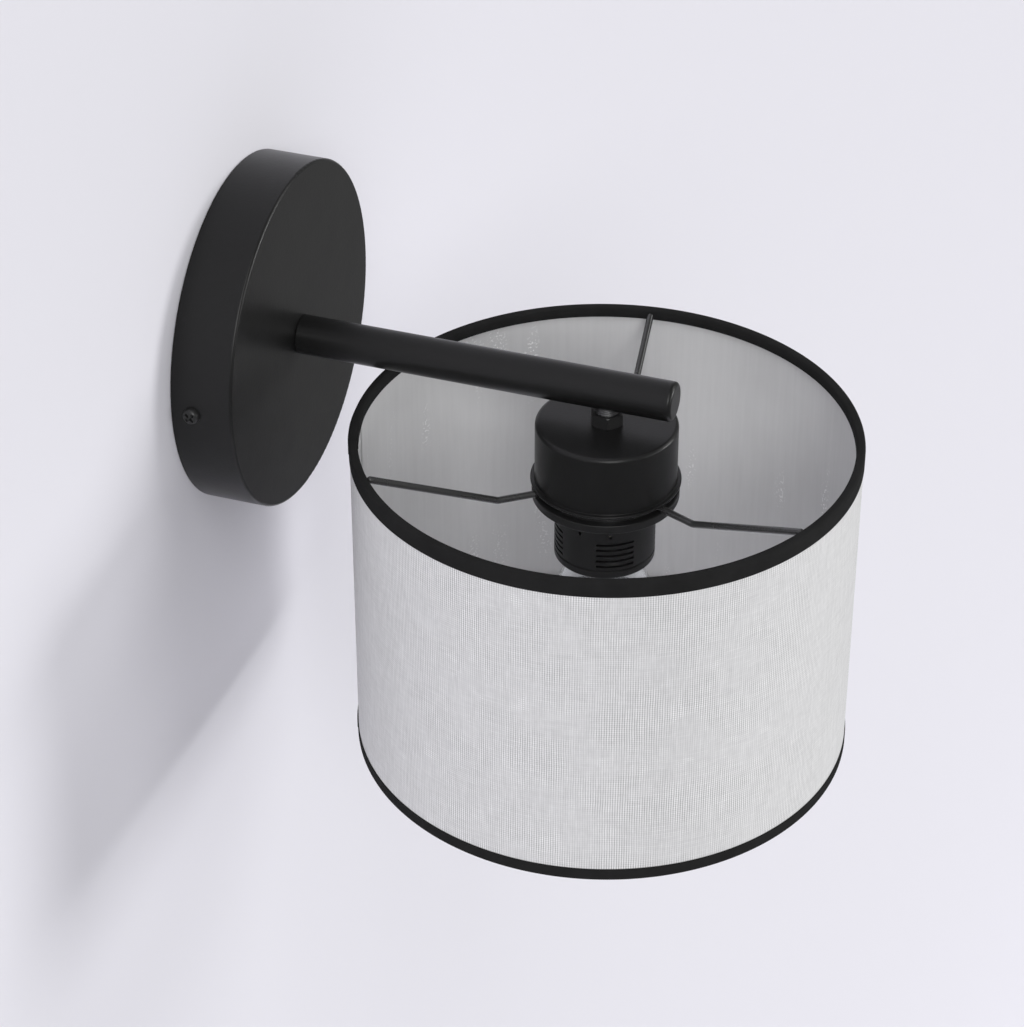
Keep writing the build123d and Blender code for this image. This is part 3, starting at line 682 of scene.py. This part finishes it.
def chalky(name, color, roughness, grain_scale):
    """Matt mineral or moulded surface with a fine uneven grain."""
    nodes = Nodes(name)
    grain = nodes.noise(nodes.place(), grain_scale, detail=4.0)
    nodes.paint(nodes.blend(grain, shaded(color, 0.88), shaded(color)))
    nodes.rough(grain, roughness - 0.08, roughness + 0.08)
    nodes.bump(grain, distance=0.04 * MM, strength=0.4)
    return nodes.material


def make_materials():
    """One finish for each of the record's material slots."""
    return {
        # coat or moulding: name, dark grey, light grey, roughness, gloss
        "black_powder": powder_coat("black_powder_coat", 0.008, 0.012, 0.33, 0.26),
        "black_screw": powder_coat("black_screw_finish", 0.012, 0.02, 0.38, 0.4),
        "grey_wire": powder_coat("grey_wire_coat", 0.016, 0.03, 0.27, 0.75),
        "black_plastic": moulding("black_moulding", 0.010, 0.014, 0.40, 0.34),
        "black_glass": moulding("black_glass", 0.004, 0.008, 0.12, 0.5),
        # metal: name, colour, roughness
        "zinc_steel": plain_metal("zinc_steel", (0.12, 0.12, 0.123), 0.5),
        "brass": plain_metal("brass_metal", (0.78, 0.60, 0.30), 0.30),
        "nickel": plain_metal("nickel_metal", (0.74, 0.72, 0.69), 0.22),
        "tin_contact": plain_metal("tin_contact", (0.60, 0.60, 0.60), 0.45),
        # mineral or nylon: name, colour, roughness, grain scale
        "clear_nylon": chalky("natural_nylon", (0.80, 0.79, 0.74), 0.5, 900),
        "ceramic_core": chalky("steatite_core", (0.83, 0.82, 0.78), 0.55, 1500),
        "phosphor": chalky("phosphor_coat", (0.85, 0.62, 0.16), 0.6, 2500),
        "trim_ribbon": ribbon(),
        "linen": linen(),
        "liner_film": liner_film(),
        "clear_glass": clear_glass(),
    }


def paint_nodes(materials):
    """Puts each slot's finish on the CAD nodes that have it."""
    for entry in frame["record"]["subparts"]:
        node = frame["nodes"][entry["node"]]
        finish = materials[entry["material_slot"]]
        if not node.material_slots:
            node.data.materials.append(finish)
        for slot in node.material_slots:
            slot.material = finish


# ---------------------------------------------------------------- stage and light
WALL_REACH = 4.0
WALL_BACK = 0.3 * MM
WALL_BOX = 44 * MM
FLOOR_Z = -3.4
BACKDROP = (0.80, 0.792, 0.842, 1.0)
WORLD_LEVEL = 0.26


def stage_material():
    """Pale matt paint, clear from behind so the wall hides nothing in the other views."""
    nodes = Nodes("stage_paint")
    nodes.fix("Base Color", BACKDROP)
    nodes.fix("Roughness", 1.0)
    nodes.fix("Specular IOR Level", 0.0)
    side = nodes.add("ShaderNodeNewGeometry")
    clear = nodes.add("ShaderNodeBsdfTransparent")
    mix = nodes.add("ShaderNodeMixShader")
    nodes.link(side.outputs["Backfacing"], mix.inputs[0])
    nodes.link(nodes.shader.outputs[0], mix.inputs[1])
    nodes.link(clear.outputs[0], mix.inputs[2])
    nodes.link(mix.outputs[0], nodes.out.inputs["Surface"])
    return nodes.material


def stage_plane(name, corners, faces, paint):
    """Flat piece of the surroundings, which is no part of the light."""
    mesh = bpy.data.meshes.new(name)
    mesh.from_pydata(corners, [], faces)
    plane = bpy.data.objects.new(name, mesh)
    mesh.materials.append(paint)
    bpy.context.collection.objects.link(plane)


def make_stage():
    """The wall with its box opening under the backplate, and a plain pale floor far below."""
    paint = stage_material()
    reach, box = WALL_REACH, WALL_BOX
    edge = [(-reach, FLOOR_Z), (reach, FLOOR_Z), (reach, reach), (-reach, reach)]
    opening = [(-box, -box), (box, -box), (box, box), (-box, box)]
    corners = [(x, WALL_BACK, z) for x, z in edge + opening]
    sides = [(side, (side + 1) % 4, (side + 1) % 4 + 4, side + 4) for side in range(4)]
    stage_plane("stage_wall", corners, sides, paint)
    floor = [(-reach, -2 * reach), (reach, -2 * reach), (reach, WALL_BACK), (-reach, WALL_BACK)]
    stage_plane("stage_floor", [(x, y, FLOOR_Z) for x, y in floor], [(0, 1, 2, 3)], paint)


def make_sun(name, toward, strength, softness):
    """Parallel light that comes from the direction toward, with its disc's width in degrees."""
    data = bpy.data.lights.new(name, "SUN")
    data.energy = strength
    data.angle = math.radians(softness)
    lamp = bpy.data.objects.new(name, data)
    lamp.rotation_euler = Vector(toward).to_track_quat("Z", "Y").to_euler()
    bpy.context.collection.objects.link(lamp)


def make_light():
    """Five soft suns over a low even world."""
    world = bpy.data.worlds.new("world")
    bpy.context.scene.world = world
    world.use_nodes = True
    background = world.node_tree.nodes["Background"]
    background.inputs["Color"].default_value = (1.0, 1.0, 1.0, 1.0)
    background.inputs["Strength"].default_value = WORLD_LEVEL
    make_sun("key", (0.50, -0.86, 0.02), strength=1.02, softness=16)
    make_sun("front", (0.00, -0.99, 0.10), strength=0.35, softness=26)
    make_sun("upper", (0.56, -0.68, 0.45), strength=0.38, softness=25)
    make_sun("fill", (-0.80, -0.37, 0.46), strength=1.15, softness=24)
    make_sun("top", (-0.50, -0.30, 0.81), strength=0.50, softness=26)


# ---------------------------------------------------------------- the scene
make_camera()
make_stage()
make_light()
finishes = make_materials()
paint_nodes(finishes)
make_liner()
make_fabric(make_trims())
make_nipples()
make_rim_screws()
make_bulb_cap()

bpy.context.scene.view_settings.view_transform = "Standard"
